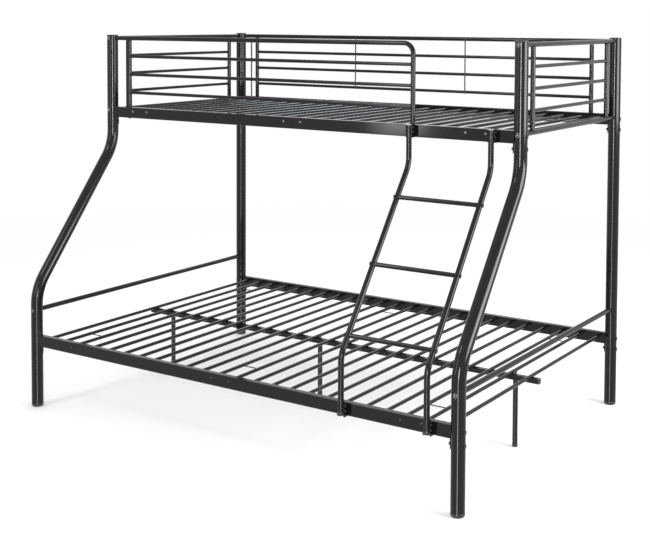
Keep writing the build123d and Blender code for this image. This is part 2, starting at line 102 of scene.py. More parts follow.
@dataclass(frozen=True)
class Finish:
    """A surface with a fine grain, a slow change of shine and wear along its edges.

    Args:
        name: Name of the material.
        slot: Material slot of the record that it stands for.
        colour: Linear base colour.
        worn: Linear colour along edges.
        roughness: Middle of the roughness range.
        spread: How far the roughness goes to each side of the middle.
        grain: Bumps per metre.
        depth: Height of the bumps.
        patches: Slow changes of shine per metre.
        edge: Radius over which an edge looks rounded and worn.
        specular: Specular level of the surface.
        metallic: Share of bare metal.
        strength: Share of the bumps that shows.
        grain_detail: Octaves of the bumps.
        patch_detail: Octaves of the slow changes.
        edge_samples: Samples that round an edge.
        wear_starts: How well the rounded and the flat normal agree where wear starts.
        wear_full: How well they agree where the wear is full.
    """

    name: str
    slot: Slot
    colour: Colour
    worn: Colour
    roughness: float
    spread: float
    grain: float
    depth: float
    patches: float = 25.0
    edge: float = 0.0008
    specular: float = 0.5
    metallic: float = 0.0
    strength: float = 0.5
    grain_detail: float = 2.0
    patch_detail: float = 3.0
    edge_samples: int = 4
    wear_starts: float = 0.98
    wear_full: float = 0.75

    def make(self) -> None:
        """Makes the finish's node material."""
        material = bpy.data.materials.new(self.name)
        material.use_nodes = True
        tree = material.node_tree
        surface = tree.nodes["Principled BSDF"]
        surface.inputs["Metallic"].default_value = self.metallic
        surface.inputs["Specular IOR Level"].default_value = self.specular
        fine = self._noise(tree, self.grain, self.grain_detail)
        slow = self._noise(tree, self.patches, self.patch_detail)

        shine = tree.nodes.new("ShaderNodeMapRange")
        shine.inputs["To Min"].default_value = self.roughness - self.spread
        shine.inputs["To Max"].default_value = self.roughness + self.spread
        tree.links.new(slow, shine.inputs["Value"])
        tree.links.new(shine.outputs["Result"], surface.inputs["Roughness"])

        bevel = tree.nodes.new("ShaderNodeBevel")
        bevel.samples = self.edge_samples
        bevel.inputs["Radius"].default_value = self.edge
        rounded = bevel.outputs["Normal"]
        bump = tree.nodes.new("ShaderNodeBump")
        bump.inputs["Strength"].default_value = self.strength
        bump.inputs["Distance"].default_value = self.depth
        tree.links.new(fine, bump.inputs["Height"])
        tree.links.new(rounded, bump.inputs["Normal"])
        tree.links.new(bump.outputs["Normal"], surface.inputs["Normal"])

        colour = self._colour_by_wear(tree, rounded, slow)
        tree.links.new(colour, surface.inputs["Base Color"])

    def _noise(self, tree: bpy.types.NodeTree, scale: float, detail: float) -> bpy.types.NodeSocket:
        """Adds a noise that stays with the object.

        Args:
            tree: Node tree of the material.
            scale: Changes per metre.
            detail: Octaves of the noise.

        Returns:
            Socket with its value.
        """
        place = tree.nodes.new("ShaderNodeTexCoord")
        noise = tree.nodes.new("ShaderNodeTexNoise")
        noise.inputs["Scale"].default_value = scale
        noise.inputs["Detail"].default_value = detail
        tree.links.new(place.outputs["Object"], noise.inputs["Vector"])
        return noise.outputs["Fac"]

    def _colour_by_wear(
        self,
        tree: bpy.types.NodeTree,
        rounded: bpy.types.NodeSocket,
        slow: bpy.types.NodeSocket,
    ) -> bpy.types.NodeSocket:
        """Adds nodes that lighten the base colour where the rounded normal leaves the flat one.

        Args:
            tree: Node tree of the material.
            rounded: Socket with the rounded normal.
            slow: Socket with the noise that breaks the wear up.

        Returns:
            Socket with the colour.
        """
        flat = tree.nodes.new("ShaderNodeNewGeometry")
        match = tree.nodes.new("ShaderNodeVectorMath")
        match.operation = "DOT_PRODUCT"
        tree.links.new(rounded, match.inputs[0])
        tree.links.new(flat.outputs["Normal"], match.inputs[1])
        wear = tree.nodes.new("ShaderNodeMapRange")
        wear.inputs["From Min"].default_value = self.wear_starts
        wear.inputs["From Max"].default_value = self.wear_full
        tree.links.new(match.outputs["Value"], wear.inputs["Value"])
        broken = tree.nodes.new("ShaderNodeMath")
        broken.operation = "MULTIPLY"
        tree.links.new(wear.outputs["Result"], broken.inputs[0])
        tree.links.new(slow, broken.inputs[1])
        mix = tree.nodes.new("ShaderNodeMix")
        mix.data_type = "RGBA"
        mix.inputs["A"].default_value = (*self.colour, 1.0)
        mix.inputs["B"].default_value = (*self.worn, 1.0)
        tree.links.new(broken.outputs["Value"], mix.inputs["Factor"])
        return mix.outputs["Result"]


POWDER_COAT = Finish(
    name="powder_coat",
    slot=Slot.PAINT,
    colour=(0.004, 0.004, 0.0043),
    worn=(0.03, 0.03, 0.032),
    roughness=0.1,
    spread=0.03,
    grain=1100.0,
    depth=0.000002,
    patches=10.0,
    edge=0.001,
    specular=0.28,
)
MOULDED_BLACK = Finish(
    name="moulded_black",
    slot=Slot.PLASTIC,
    colour=(0.01, 0.01, 0.011),
    worn=(0.04, 0.04, 0.04),
    roughness=0.34,
    spread=0.06,
    grain=1500.0,
    depth=0.00005,
)
MOULDED_PALE = Finish(
    name="moulded_pale",
    slot=Slot.PALE,
    colour=(0.32, 0.315, 0.3),
    worn=(0.5, 0.5, 0.48),
    roughness=0.3,
    spread=0.05,
    grain=1200.0,
    depth=0.00004,
)
BLACK_ZINC = Finish(
    name="black_zinc",
    slot=Slot.FASTENER,
    colour=(0.035, 0.035, 0.037),
    worn=(0.3, 0.3, 0.3),
    roughness=0.22,
    spread=0.05,
    grain=900.0,
    depth=0.00002,
    edge=0.0004,
    metallic=0.6,
)
PALE_ZINC = Finish(
    name="pale_zinc",
    slot=Slot.FASTENER,
    colour=(0.17, 0.17, 0.178),
    worn=(0.3, 0.3, 0.3),
    roughness=0.3,
    spread=0.06,
    grain=900.0,
    depth=0.00002,
    edge=0.0003,
    metallic=1.0,
)
# Pale metal for thin shells over the rims and crowns of the end tube bolts' heads: a painted highlight of
# the bright ring and core that these heads show, with still paler edges.
PAINTED_HIGHLIGHT_ZINC = Finish(
    name="painted_highlight_zinc",
    slot=Slot.FASTENER,
    colour=(0.36, 0.36, 0.37),
    worn=(0.6, 0.6, 0.6),
    roughness=0.25,
    spread=0.05,
    grain=900.0,
    depth=0.00002,
    edge=0.0003,
    metallic=1.0,
)
CAD_FINISHES = (POWDER_COAT, MOULDED_BLACK, MOULDED_PALE, BLACK_ZINC)
SCENE_FINISHES = (PALE_ZINC, PAINTED_HIGHLIGHT_ZINC)


def arc(centre: tuple[float, float], radius: float, start: float, end: float, steps: int) -> Points:
    """Points of an arc in a profile.

    Args:
        centre: Distance from the axis and height of the arc's centre.
        radius: Radius of the arc.
        start: Angle of the first point in degrees, from straight outwards.
        end: Angle of the last point.
        steps: Number of pieces the arc is cut into.

    Returns:
        Pairs of distance from the axis and height.
    """
    turns = [math.radians(start + (end - start) * i / steps) for i in range(steps + 1)]
    return [(centre[0] + radius * math.cos(a), centre[1] + radius * math.sin(a)) for a in turns]


def angles(steps: int) -> list[float]:
    """Even angles round a circle, from zero up."""
    return [2 * math.pi * step / steps for step in range(steps)]


def many_sided(apothem: float, sides: int) -> Reach:
    """Outline of a bar with flat sides, the first of which faces straight outwards.

    Args:
        apothem: Distance from the axis to the flats.
        sides: Number of flats.

    Returns:
        Function that gives the distance from the axis to the outline at an angle.
    """
    sector = 2 * math.pi / sides

    def outline(angle: float) -> float:
        """Distance to the nearest flat along the angle."""
        return apothem / math.cos((angle + sector / 2) % sector - sector / 2)

    return outline


def cross(arm: float, width: float) -> Reach:
    """Outline of a cross recess.

    Args:
        arm: Distance from the axis to the end of an arm.
        width: Width of an arm.

    Returns:
        Function that gives the distance from the axis to the outline at an angle.
    """
    quarter = math.pi / 2
    smallest = 1e-6

    def outline(angle: float) -> float:
        """Distance to the end or the side of the nearest arm."""
        turn = abs((angle + quarter / 2) % quarter - quarter / 2)
        return min(arm / math.cos(turn), width / 2 / max(math.sin(turn), smallest))

    return outline


def at_height(spot: Vector, height: float) -> Vector:
    """The point at a height that lies straight over or under a spot."""
    return Vector((spot.x, spot.y, height))


class Shape:
    """The mesh of one piece while it is built."""

    ripple_share: float = 0.14
    same_point: float = 1e-7

    def __init__(self) -> None:
        """Starts with an empty mesh."""
        self.mesh = bmesh.new()

    def grid(self, rows: Sequence[Sequence[Vector]], close: bool) -> None:
        """Joins rows of points with faces.

        Args:
            rows: Rows with the same number of points each. A row of one point is a tip.
            close: True if the last row meets the first.
        """
        made = [[self.mesh.verts.new(point) for point in row] for row in rows]
        pairs = list(zip(made, made[1:]))
        if close:
            pairs.append((made[-1], made[0]))
        for low, high in pairs:
            count = max(len(low), len(high))
            for i in range(count):
                j = (i + 1) % count
                corners = [low[i % len(low)], low[j % len(low)], high[j % len(high)], high[i % len(high)]]
                unique = list(dict.fromkeys(corners))
                self.mesh.faces.new(unique)

    def lathe(self, profile: Profile, at: Vector, axis: Vector, steps: int) -> None:
        """Turns a profile round an axis.

        Args:
            profile: Pairs of distance from the axis, or outline round it, and height above the point.
            at: Point that heights are measured from.
            axis: Direction of the axis.
            steps: Number of points round the axis.
        """
        turn = axis.normalized().to_track_quat("Z", "Y").to_matrix()
        rows = []
        for radius, height in profile:
            if radius == 0.0:
                rows.append([at + turn @ Vector((0.0, 0.0, height))])
                continue
            row = []
            for angle in angles(steps):
                reach = radius(angle) if callable(radius) else radius
                spot = Vector((reach * math.cos(angle), reach * math.sin(angle), height))
                row.append(at + turn @ spot)
            rows.append(row)
        self.grid(rows, close=False)

    def bead(self, seam: Seam, radius: float, ripples: int, sides: int = 6) -> None:
        """Runs a rippled weld bead along a closed seam.

        Args:
            seam: Points, each with the two directions that its cross-section lies in.
            radius: Middle radius of the bead.
            ripples: Number of ripples along the seam.
            sides: Number of points round the bead.
        """
        rows = []
        for index, (point, outward, back) in enumerate(seam):
            wave = math.sin(2 * math.pi * ripples * index / len(seam))
            swell = radius * (1 + self.ripple_share * wave)
            row = []
            for angle in angles(sides):
                aside = outward * (swell * math.cos(angle))
                row.append(point + aside + back * (swell * math.sin(angle)))
            rows.append(row)
        self.grid(rows, close=True)

    def piece(
        self,
        name: str,
        finish: Finish,
        stands_for: Sequence[str] = (),
        sharp: float = 40.0,
    ) -> None:
        """Makes the object, dresses it and fixes it to the frame.

        Args:
            name: Name of the piece.
            finish: Finish it is dressed in.
            stands_for: CAD nodes that it replaces.
            sharp: Angle in degrees above which an edge stays sharp.
        """
        bmesh.ops.remove_doubles(self.mesh, verts=self.mesh.verts, dist=self.same_point)
        bmesh.ops.recalc_face_normals(self.mesh, faces=self.mesh.faces)
        data = bpy.data.meshes.new(name)
        self.mesh.to_mesh(data)
        self.mesh.free()
        data.shade_smooth()
        data.set_sharp_from_angle(angle=math.radians(sharp))
        made = bpy.data.objects.new(name, data)
        bpy.context.scene.collection.objects.link(made)
        data.materials.append(bpy.data.materials[finish.name])
        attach(made, BODY)
        if stands_for:
            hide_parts(*stands_for)
        LOG.info("%s: %d faces", name, len(data.polygons))


def round_seam(at: Vector, direction: Vector, axis: Vector, bar: float, tube: float, steps: int) -> Seam:
    """Seam where a round bar runs into a round tube.

    Args:
        at: Point on the tube's axis that the bar points at.
        direction: Direction from there along the bar.
        axis: Direction of the tube's axis.
        bar: Radius of the bar.
        tube: Radius of the tube.
        steps: Number of points round the bar.

    Returns:
        Points with their outward and backward directions.
    """
    side = axis.cross(direction).normalized()
    seam = []
    for angle in angles(steps):
        outward = axis.normalized() * math.cos(angle) + side * math.sin(angle)
        reach = math.sqrt(tube ** 2 - (bar * math.sin(angle)) ** 2)
        seam.append((at + direction * reach + outward * bar, outward, direction))
    return seam


def flat_seam(at: Vector, direction: Vector, bar: float, steps: int) -> Seam:
    """Seam where a round bar meets a flat face.

    Args:
        at: Point of the face on the bar's axis.
        direction: Direction from there along the bar, which is level.
        bar: Radius of the bar.
        steps: Number of points round the bar.

    Returns:
        Points with their outward and backward directions.
    """
    side = direction.cross(UP).normalized()
    seam = []
    for angle in angles(steps):
        outward = UP * math.cos(angle) + side * math.sin(angle)
        seam.append((at + outward * bar, outward, direction))
    return seam


@dataclass(frozen=True)
class Solid:
    """One separate solid of a CAD node.

    Args:
        low: Corner of its box where X, Y and Z are smallest.
        high: Corner where they are largest.
        points: The solid's points.
        cube: A box whose sides differ by less than this ratio has no longest side.
        flat: Points this close to an end face lie on it.
    """

    low: Vector
    high: Vector
    points: tuple[Vector, ...] = ()
    cube: float = 1.2
    flat: float = 1e-4

    @property
    def centre(self) -> Vector:
        """Middle of the box."""
        return (self.low + self.high) / 2

    @property
    def size(self) -> Vector:
        """Length of each side of the box."""
        return self.high - self.low

    def head(self) -> tuple[Vector, Vector]:
        """Finds the wide end of a bolt or screw. A stubby one lies along the bed.

        Returns:
            Middle of the head's end face and the direction that it faces.
        """
        index = max(range(3), key=lambda i: self.size[i])
        if max(self.size) < self.cube * min(self.size):
            index = 0
        near = self._spread(index, self.low[index])
        far = self._spread(index, self.high[index])
        sign = -1.0 if near > far else 1.0
        tip = self.centre.copy()
        tip[index] = self.low[index] if sign < 0 else self.high[index]
        return tip, Vector([sign if i == index else 0.0 for i in range(3)])

    def _spread(self, index: int, level: float) -> float:
        """Finds the widest reach from the axis of the points that lie on one end face.

        Args:
            index: Number of the axis along the bolt.
            level: Place of the end face along it.

        Returns:
            Distance from the axis.
        """
        others = [i for i in range(3) if i != index]
        ends = [p for p in self.points if abs(p[index] - level) < self.flat]
        return max(math.hypot(*(p[i] - self.centre[i] for i in others)) for p in ends)


class CadFrame:
    """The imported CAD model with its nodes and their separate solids."""

    steps_per_metre: float = 1e5
    order_digits: int = 4

    def __init__(self) -> None:
        """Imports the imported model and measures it."""
        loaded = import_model()
        self.nodes: dict[str, bpy.types.Object] = loaded["nodes"]
        self.record: dict = loaded["record"]
        self.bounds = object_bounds()

    def solids(self, name: str) -> list[Solid]:
        """Finds the separate solids of a node.

        Args:
            name: Name of the node.

        Returns:
            The solids, in order of X, then Y, then Z.
        """
        mesh = self.nodes[name].data
        keys = [tuple(round(c * self.steps_per_metre) for c in vertex.co) for vertex in mesh.vertices]
        parents = {key: key for key in keys}

        def root(key: tuple[int, ...]) -> tuple[int, ...]:
            """Follows a key up to the first of its group.

            Args:
                key: Rounded place of a vertex.

            Returns:
                Rounded place of the group's first vertex.
            """
            while parents[key] != key:
                parents[key] = parents[parents[key]]
                key = parents[key]
            return key

        for polygon in mesh.polygons:
            first = root(keys[polygon.vertices[0]])
            for index in polygon.vertices[1:]:
                parents[root(keys[index])] = first
        groups: dict[tuple[int, ...], list[Vector]] = {}
        for key, vertex in zip(keys, mesh.vertices):
            groups.setdefault(root(key), []).append(vertex.co)
        boxes = []
        for points in groups.values():
            low = Vector([min(p[i] for p in points) for i in range(3)])
            high = Vector([max(p[i] for p in points) for i in range(3)])
            boxes.append(Solid(low, high, tuple(points)))
        return sorted(boxes, key=lambda s: tuple(round(c, self.order_digits) for c in s.centre))

    def whole(self, name: str) -> Solid:
        """The box of a whole node, as one solid."""
        low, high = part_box(name)
        return Solid(low, high)

    def dress(self) -> None:
        """Gives every CAD node the finish of its material slot."""
        finishes = {finish.slot.value: finish for finish in CAD_FINISHES}
        for part in self.record["subparts"]:
            node = self.nodes[part["node"]]
            node.data.materials.clear()
            node.data.materials.append(bpy.data.materials[finishes[part["material_slot"]].name])


@dataclass
class PostEnds:
    """Moulded caps on top of the posts and feet under them."""

    cap_radius: float = 0.025
    cap_height: float = 0.005
    cap_round: float = 0.0026
    cap_edge: float = 0.0005
    cap_stem: float = 0.0048
    stem_in: float = 0.0008
    stem_up: float = 0.001
    dish_radius: float = 0.0185
    dish_floor: float = 0.0175
    dish_depth: float = 0.0005
    dish_sag: float = 0.0002
    foot_radius: float = 0.025
    foot_height: float = 0.014
    foot_round: float = 0.008
    foot_stem: float = 0.021
    foot_point: float = 0.002
    shoulder_in: float = 0.0008
    shoulder_down: float = 0.0012
    hollow_radius: float = 0.0136
    hollow_depth: float = 0.0012
    ring_radius: float = 0.01462
    stem_radius: float = 0.0228
    cap_steps: int = 6
    foot_steps: int = 8
    steps: int = 64

    def cap_profile(self) -> Profile:
        """Works out the profile of a cap, from its stem up to its dished top.

        Returns:
            Pairs of distance from the axis and height above the cap's seat.
        """
        crown = (self.cap_radius - self.cap_round, self.cap_height - self.cap_round)
        return [
            (0.0, -self.cap_stem),
            (self.stem_radius - self.stem_in, -self.cap_stem),
            (self.stem_radius, -self.cap_stem + self.stem_up),
            (self.stem_radius, 0.0),
            (self.cap_radius - self.cap_edge, 0.0),
            (self.cap_radius, self.cap_edge),
            *arc(crown, self.cap_round, 0, 90, self.cap_steps),
            (self.dish_radius, self.cap_height),
            (self.dish_floor, self.cap_height - self.dish_depth),
            (0.0, self.cap_height - self.dish_depth - self.dish_sag),
        ]

    def foot_profile(self) -> Profile:
        """Works out the profile of a foot, from the ring it stands on up to its stem.

        Returns:
            Pairs of distance from the axis and height above the floor.
        """
        sole = self.foot_radius - self.foot_round
        top = self.foot_height + self.foot_stem
        return [
            (0.0, self.hollow_depth),
            (self.hollow_radius, self.hollow_depth),
            (self.ring_radius, 0.0),
            *arc((sole, self.foot_round), self.foot_round, -90, 0, self.foot_steps),
            (self.foot_radius, self.foot_height - self.shoulder_down),
            (self.foot_radius - self.shoulder_in, self.foot_height),
            (self.stem_radius, self.foot_height),
            (self.stem_radius, top - self.foot_point),
            (self.stem_radius - self.foot_point, top),
            (0.0, top),
        ]

    def build(self, frame: CadFrame) -> None:
        """Builds the caps and the feet where the CAD has them.

        Args:
            frame: The CAD frame.
        """
        caps, feet = Shape(), Shape()
        for solid in frame.solids("post_caps"):
            seat = at_height(solid.centre, solid.high.z - self.cap_height)
            caps.lathe(self.cap_profile(), seat, UP, self.steps)
        for solid in frame.solids("post_feet"):
            feet.lathe(self.foot_profile(), at_height(solid.centre, solid.low.z), UP, self.steps)
        caps.piece("cap_mouldings", MOULDED_BLACK, ["post_caps"])
        feet.piece("foot_mouldings", MOULDED_BLACK, ["post_feet"])


@dataclass
class LadderEnds:
    """Pale caps on top of the ladder's stiles and black plugs under them."""

    cap_radius: float = 0.012
    cap_height: float = 0.004
    crown_shares: Shares = ((0.9, 0.05), (1.0, 0.275), (0.97, 0.55), (0.8, 0.825), (0.4, 0.975))
    stem_in: float = 0.001
    stem_up: float = 0.002
    plug_radius: float = 0.012
    plug_height: float = 0.0143
    plug_round: float = 0.006
    plug_point: float = 0.002
    shoulder_in: float = 0.0006
    shoulder_down: float = 0.001
    hollow_depth: float = 0.0004
    ring_radius: float = 0.0048
    stem_radius: float = 0.0088
    stem: float = 0.021
    plug_steps: int = 6
    steps: int = 48

    def cap_profile(self) -> Profile:
        """Works out the profile of a cap, from its stem up to its flared rim and low crown.

        Returns:
            Pairs of distance from the axis and height above the cap's seat.
        """
        return [
            (0.0, -self.stem),
            (self.stem_radius - self.stem_in, -self.stem),
            (self.stem_radius, -self.stem + self.stem_up),
            (self.stem_radius, 0.0),
            *[(self.cap_radius * out, self.cap_height * up) for out, up in self.crown_shares],
            (0.0, self.cap_height),
        ]

    def plug_profile(self) -> Profile:
        """Works out the profile of a plug, from the floor side up to its stem.

        Returns:
            Pairs of distance from the axis and height above the floor.
        """
        sole = self.plug_radius - self.plug_round
        top = self.plug_height + self.stem
        return [
            (0.0, self.hollow_depth),
            (self.ring_radius, 0.0),
            *arc((sole, self.plug_round), self.plug_round, -90, 0, self.plug_steps),
            (self.plug_radius, self.plug_height - self.shoulder_down),
            (self.plug_radius - self.shoulder_in, self.plug_height),
            (self.stem_radius, self.plug_height),
            (self.stem_radius, top - self.plug_point),
            (self.stem_radius - self.plug_point, top),
            (0.0, top),
        ]

    def build(self, frame: CadFrame) -> None:
        """Builds the caps and plugs where the CAD has them.

        Args:
            frame: The CAD frame.
        """
        caps, plugs = Shape(), Shape()
        for solid in frame.solids("ladder_caps"):
            seat = at_height(solid.centre, solid.high.z - self.cap_height)
            caps.lathe(self.cap_profile(), seat, UP, self.steps)
        for solid in frame.solids("ladder_plugs"):
            plugs.lathe(self.plug_profile(), at_height(solid.centre, solid.low.z), UP, self.steps)
        caps.piece("ladder_cap_mouldings", MOULDED_PALE, ["ladder_caps"])
        plugs.piece("ladder_plug_mouldings", MOULDED_BLACK, ["ladder_plugs"])


@dataclass
class CentreFeet:
    """Grooved feet under the legs of the centre support."""

    radius: float = 0.011
    height: float = 0.012
    round: float = 0.004
    shoulder: float = 0.0005
    hollow_depth: float = 0.0005
    ring_radius: float = 0.0056
    groove_levels: tuple[float, ...] = (0.0055, 0.0085)
    groove_depth: float = 0.0004
    stem_radius: float = 0.0084
    stem: float = 0.021
    round_steps: int = 6
    steps: int = 48

    def profile(self) -> Profile:
        """Works out the profile of a foot, with the grooves round its side.

        Returns:
            Pairs of distance from the axis and height above the floor.
        """
        sole = self.radius - self.round
        side = []
        for level in self.groove_levels:
            middle = level + self.groove_depth
            side += [(self.radius, level), (self.radius - self.groove_depth, middle)]
            side.append((self.radius, middle + self.groove_depth))
        return [
            (0.0, self.hollow_depth),
            (self.ring_radius, 0.0),
            *arc((sole, self.round), self.round, -90, 0, self.round_steps),
            *side,
            (self.radius, self.height - self.shoulder),
            (self.radius - self.shoulder, self.height),
            (self.stem_radius, self.height),
            (self.stem_radius, self.height + self.stem),
            (0.0, self.height + self.stem),
        ]

    def build(self, frame: CadFrame) -> None:
        """Builds the feet where the CAD has them.

        Args:
            frame: The CAD frame.
        """
        feet = Shape()
        for solid in frame.solids("centre_leg_feet"):
            feet.lathe(self.profile(), at_height(solid.centre, solid.low.z), UP, self.steps)
        feet.piece("centre_foot_mouldings", MOULDED_BLACK, ["centre_leg_feet"])


@dataclass
class CoachBolts:
    """Coach bolts with a dome in a dished rim, a square neck and a thread."""

    head_radius: float = 0.0082
    head_height: float = 0.0045
    head_edge: float = 0.0003
    seat_edge: float = 0.0002
    lip: float = 0.0015
    rim: float = 0.0016
    dish: float = 0.0012
    dish_slope: float = 0.0004
    dome_radius: float = 0.004
    dome_foot: float = 0.0002
    dome_steps: int = 8
    skin: float = 0.0001
    crown_radius: float = 0.0028
    neck: float = 0.006
    neck_sides: int = 4
    neck_length: float = 0.004
    shank_radius: float = 0.0028
    thread_length: float = 0.014
    pitch: float = 0.001
    thread_depth: float = 0.0004
    steps: int = 24
    # Points round the painted highlight shells on the end tube bolts.
    highlight_steps: int = 32
    nodes: tuple[str, ...] = (
        "rail_bolts",
        "end_tube_bolts",
        "guard_foot_bolts",
        "centre_leg_bolts",
        "ladder_rung_bolts",
    )

    def profile(self, length: float) -> Profile:
        """Works out the profile of a bolt, from the crown of its head down to its end.

        Args:
            length: Length of the whole bolt.

        Returns:
            Pairs of distance from the axis, or outline round it, and height above the crown.
        """
        rim = self.rim - self.head_height
        inner = self.head_radius - self.lip
        square = many_sided(self.neck / 2, self.neck_sides)
        under = -self.head_height - self.neck_length
        bare = [
            (0.0, 0.0),
            *self.dome(self.dome_radius),
            (self.dome_radius + self.dome_foot, rim - self.dish),
            (inner - self.dish_slope, rim - self.dish),
            (inner, rim),
            (self.head_radius - self.head_edge, rim),
            (self.head_radius, rim - self.head_edge),
            (self.head_radius, -self.head_height + self.seat_edge),
            (self.head_radius - self.seat_edge, -self.head_height),
            (square, -self.head_height),
            (square, under),
            (self.shank_radius, under),
        ]
        core = self.shank_radius - self.thread_depth
        for turn in range(int(self.thread_length / self.pitch), 0, -1):
            level = -length + self.pitch * turn
            bare += [(self.shank_radius, level), (core, level - self.pitch / 2)]
        return [*bare, (core, -length), (0.0, -length)]

    def dome(self, reach: float) -> Points:
        """Works out points of the dome, without its tip.

        Args:
            reach: Distance from the axis at which they end.

        Returns:
            Pairs of distance from the axis and height above the crown.
        """
        crown = self.head_height - self.rim
        ball = (self.dome_radius ** 2 + crown ** 2) / (2 * crown)
        end = 90 - math.degrees(math.asin(reach / ball))
        return arc((0.0, -ball), ball, 90, end, self.dome_steps)[1:]

    def painted_highlights(self, frame: CadFrame) -> None:
        """Builds thin pale shells over the rims and crowns of the heads of the bolts in the end tubes, a
        painted highlight of the bright ring and core on those heads.

        Args:
            frame: The CAD frame.
        """
        inner, outer = self.head_radius - self.lip, self.head_radius + self.skin
        top = self.rim - self.head_height + self.skin
        first = (inner, top - self.dish)
        ring = [first, (inner + self.skin, top), (outer - self.skin, top), (outer, top - self.head_edge)]
        ring += [(outer, -self.head_height), (inner, -self.head_height), first]
        dome = [(reach, height + self.skin) for reach, height in self.dome(self.crown_radius)]
        edge = (self.crown_radius, dome[-1][1] - 2 * self.skin)
        crown = [(0.0, self.skin), *dome, edge, (0.0, -self.rim)]
        metal = Shape()
        for solid in frame.solids("end_tube_bolts"):
            tip, facing = solid.head()
            for profile in (ring, crown):
                metal.lathe(profile, tip, facing, self.highlight_steps)
        metal.piece("end_tube_bolt_painted_highlights", PAINTED_HIGHLIGHT_ZINC)

    def build(self, frame: CadFrame) -> None:
        """Builds the bolts of each node where the CAD has them.

        Args:
            frame: The CAD frame.
        """
        for name in self.nodes:
            bolts = Shape()
            for solid in frame.solids(name):
                crown, facing = solid.head()
                bolts.lathe(self.profile(max(solid.size)), crown, facing, self.steps)
            bolts.piece(name.replace("bolts", "coach_bolts"), BLACK_ZINC, [name])
        # Painted highlights on the heads of the end tube bolts.
        self.painted_highlights(frame)


@dataclass
class RailNuts:
    """Hexagon nuts inside the ends of the rails."""

    sides: int = 6
    width: float = 0.01
    thickness: float = 0.0055
    face_radius: float = 0.0049
    slope: float = 1.73
    corner_shares: tuple[float, ...] = (0.0, 0.03, 0.06, 0.1)
    bore_radius: float = 0.0028
    pitch: float = 0.001
    thread_depth: float = 0.0003
    thread_shares: tuple[float, float] = (0.25, 0.75)
    steps: int = 36

    def faced(self, depth: float) -> Reach:
        """Outline at a depth below an end face, with its corners turned off.

        Args:
            depth: Distance from the end face.

        Returns:
            Function that gives the distance from the axis to the outline at an angle.
        """
        flats = many_sided(self.width / 2, self.sides)
        cone = self.face_radius + self.slope * depth
        return lambda angle: min(flats(angle), cone)

    def profile(self) -> Profile:
        """Works out the profile that runs round the nut's section and ends where it starts.

        Returns:
            Pairs of distance from the axis, or outline round it, and height above the nut's middle.
        """
        half = self.thickness / 2
        wide = self.bore_radius + self.thread_depth
        depths = [self.thickness * share for share in self.corner_shares]
        outside = [(self.faced(depth), half - depth) for depth in depths]
        outside += [(outline, -height) for outline, height in reversed(outside)]
        inside = []
        for turn in range(int(self.thickness / self.pitch)):
            groove, crest = (-half + self.pitch * (turn + share) for share in self.thread_shares)
            inside += [(wide, groove), (self.bore_radius, crest)]
        return [(wide, half), *outside, (wide, -half), *inside, (wide, half)]

    def build(self, frame: CadFrame) -> None:
        """Builds the nuts where the CAD has them.

        Args:
            frame: The CAD frame.
        """
        nuts = Shape()
        for solid in frame.solids("rail_nuts"):
            nuts.lathe(self.profile(), solid.centre, ALONG, self.steps)
        nuts.piece("rail_hexagon_nuts", BLACK_ZINC, ["rail_nuts"])


@dataclass
class CrossScrews:
    """Pan head screws with a cross recess, in the ladder's brackets and on the faces of the rails."""

    bracket_radius: float = 0.004
    bracket_height: float = 0.003
    shank_radius: float = 0.002
    rail_radius: float = 0.0055
    rail_height: float = 0.0022
    held_slats: tuple[int, ...] = (1, 2, 11, 12, 21, 22)
    mouth_shares: tuple[float, float] = (0.56, 0.26)
    floor_shares: tuple[float, float] = (0.3, 0.16)
    recess_depth_shares: tuple[float, float, float] = (0.62, 0.55, 0.03)
    crown_shares: Shares = ((0.6, 0.0), (0.76, 0.1), (0.9, 0.28), (0.98, 0.55), (1.0, 0.8), (1.0, 1.0))
    steps: int = 32

    def head(self, radius: float, height: float) -> Profile:
        """Works out the profile of a head, from the bottom of its recess to its bearing face.

        Args:
            radius: Radius of the head.
            height: Height of the head.

        Returns:
            Pairs of distance from the axis, or outline round it, and height above the top.
        """
        tip, floor, mouth = (-height * share for share in self.recess_depth_shares)
        return [
            (0.0, tip),
            (cross(*(radius * share for share in self.floor_shares)), floor),
            (cross(*(radius * share for share in self.mouth_shares)), mouth),
            *[(radius * out, -height * down) for out, down in self.crown_shares],
        ]

    def brackets(self, frame: CadFrame) -> None:
        """Builds the screws that hold the brackets to the stiles.

        Args:
            frame: The CAD frame.
        """
        screws = Shape()
        head = self.head(self.bracket_radius, self.bracket_height)
        for solid in frame.solids("ladder_bracket_bolts"):
            top, facing = solid.head()
            end = -solid.size.x
            shank = [(self.shank_radius, -self.bracket_height), (self.shank_radius, end), (0.0, end)]
            screws.lathe([*head, *shank], top, facing, self.steps)
        screws.piece("ladder_bracket_screws", BLACK_ZINC, ["ladder_bracket_bolts"])

    def rails(self, frame: CadFrame) -> None:
        """Builds the screw heads on the outer faces of the rails, at the slats that they hold.

        Args:
            frame: The CAD frame.
        """
        profile = [*self.head(self.rail_radius, self.rail_height), (0.0, -self.rail_height)]
        for level, finish in (("lower", BLACK_ZINC), ("upper", PALE_ZINC)):
            heads = Shape()
            slats = frame.solids(f"{level}_slats")
            for row, side in (("front", -1), ("back", 1)):
                rail = frame.whole(f"rail_{level}_{row}")
                face = rail.low.y if side < 0 else rail.high.y
                for index in self.held_slats:
                    centre = slats[index].centre
                    top = Vector((centre.x, face + side * self.rail_height, centre.z))
                    heads.lathe(profile, top, ACROSS * side, self.steps)
            heads.piece(f"{level}_rail_screws", finish)

    def build(self, frame: CadFrame) -> None:
        """Builds the screws of the brackets and of both beds.

        Args:
            frame: The CAD frame.
        """
        self.brackets(frame)
        self.rails(frame)


